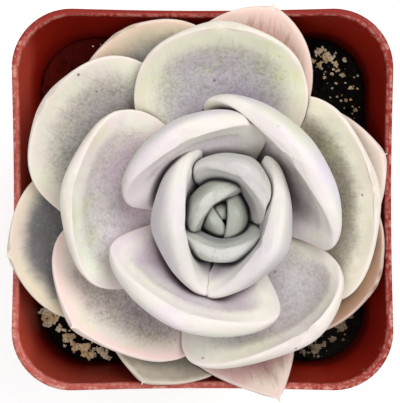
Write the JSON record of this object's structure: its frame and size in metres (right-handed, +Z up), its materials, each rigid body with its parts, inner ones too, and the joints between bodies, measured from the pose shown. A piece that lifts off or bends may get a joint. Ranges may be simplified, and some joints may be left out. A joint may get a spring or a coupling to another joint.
{
  "type": "potted echeveria",
  "caption": "Rosette of thick spoon-shaped blue-grey succulent leaves on a short stem, in a small square plastic nursery pot of potting mix.",
  "frame": {"origin": "centre of the pot's underside", "axes": "+Z up out of the pot, X and Y along the pot's sides, +Y to the top of the picture"},
  "size_m": [0.0609, 0.0623, 0.0718],
  "materials": {
    "pot": "satin brick-red plastic, paler along the rim",
    "soil": "crumbly dark potting mix with pale pumice grains",
    "stem": "short fleshy stem with leaf scars",
    "heart": "matt grey-green young leaves",
    "leaf_01": "matt, fleshy, under a pale waxy bloom",
    "leaf_02": "matt, fleshy, under a pale waxy bloom",
    "leaf_03": "matt, fleshy, under a pale waxy bloom",
    "leaf_04": "matt, fleshy, under a pale waxy bloom",
    "leaf_05": "matt, fleshy, under a pale waxy bloom",
    "leaf_06": "matt, fleshy, under a pale waxy bloom",
    "leaf_07": "matt, fleshy, under a pale waxy bloom",
    "leaf_08": "matt, fleshy, under a pale waxy bloom",
    "leaf_09": "matt, fleshy, under a pale waxy bloom",
    "leaf_10": "matt, fleshy, under a pale waxy bloom",
    "leaf_11": "matt, fleshy, under a pale waxy bloom",
    "leaf_12": "matt, fleshy, under a pale waxy bloom",
    "leaf_13": "matt, fleshy, under a pale waxy bloom",
    "leaf_14": "matt, fleshy, under a pale waxy bloom",
    "leaf_15": "matt, fleshy, under a pale waxy bloom",
    "leaf_16": "matt, fleshy, under a pale waxy bloom",
    "leaf_17": "matt, fleshy, under a pale waxy bloom",
    "leaf_18": "matt, fleshy, under a pale waxy bloom",
    "leaf_19": "matt, fleshy, under a pale waxy bloom",
    "leaf_20": "matt, fleshy, under a pale waxy bloom",
    "leaf_21": "matt, fleshy, under a pale waxy bloom"
  },
  "bodies": {
    "root": {"pot": "pot", "soil": "soil", "stem": "stem", "heart": "heart", "leaf_01": "leaf_01", "leaf_02": "leaf_02", "leaf_03": "leaf_03", "leaf_04": "leaf_04", "leaf_05": "leaf_05", "leaf_06": "leaf_06", "leaf_07": "leaf_07", "leaf_08": "leaf_08", "leaf_09": "leaf_09", "leaf_10": "leaf_10", "leaf_11": "leaf_11", "leaf_12": "leaf_12", "leaf_13": "leaf_13", "leaf_14": "leaf_14", "leaf_15": "leaf_15", "leaf_16": "leaf_16", "leaf_17": "leaf_17", "leaf_18": "leaf_18", "leaf_19": "leaf_19", "leaf_20": "leaf_20", "leaf_21": "leaf_21"}
  },
  "joints": []
}
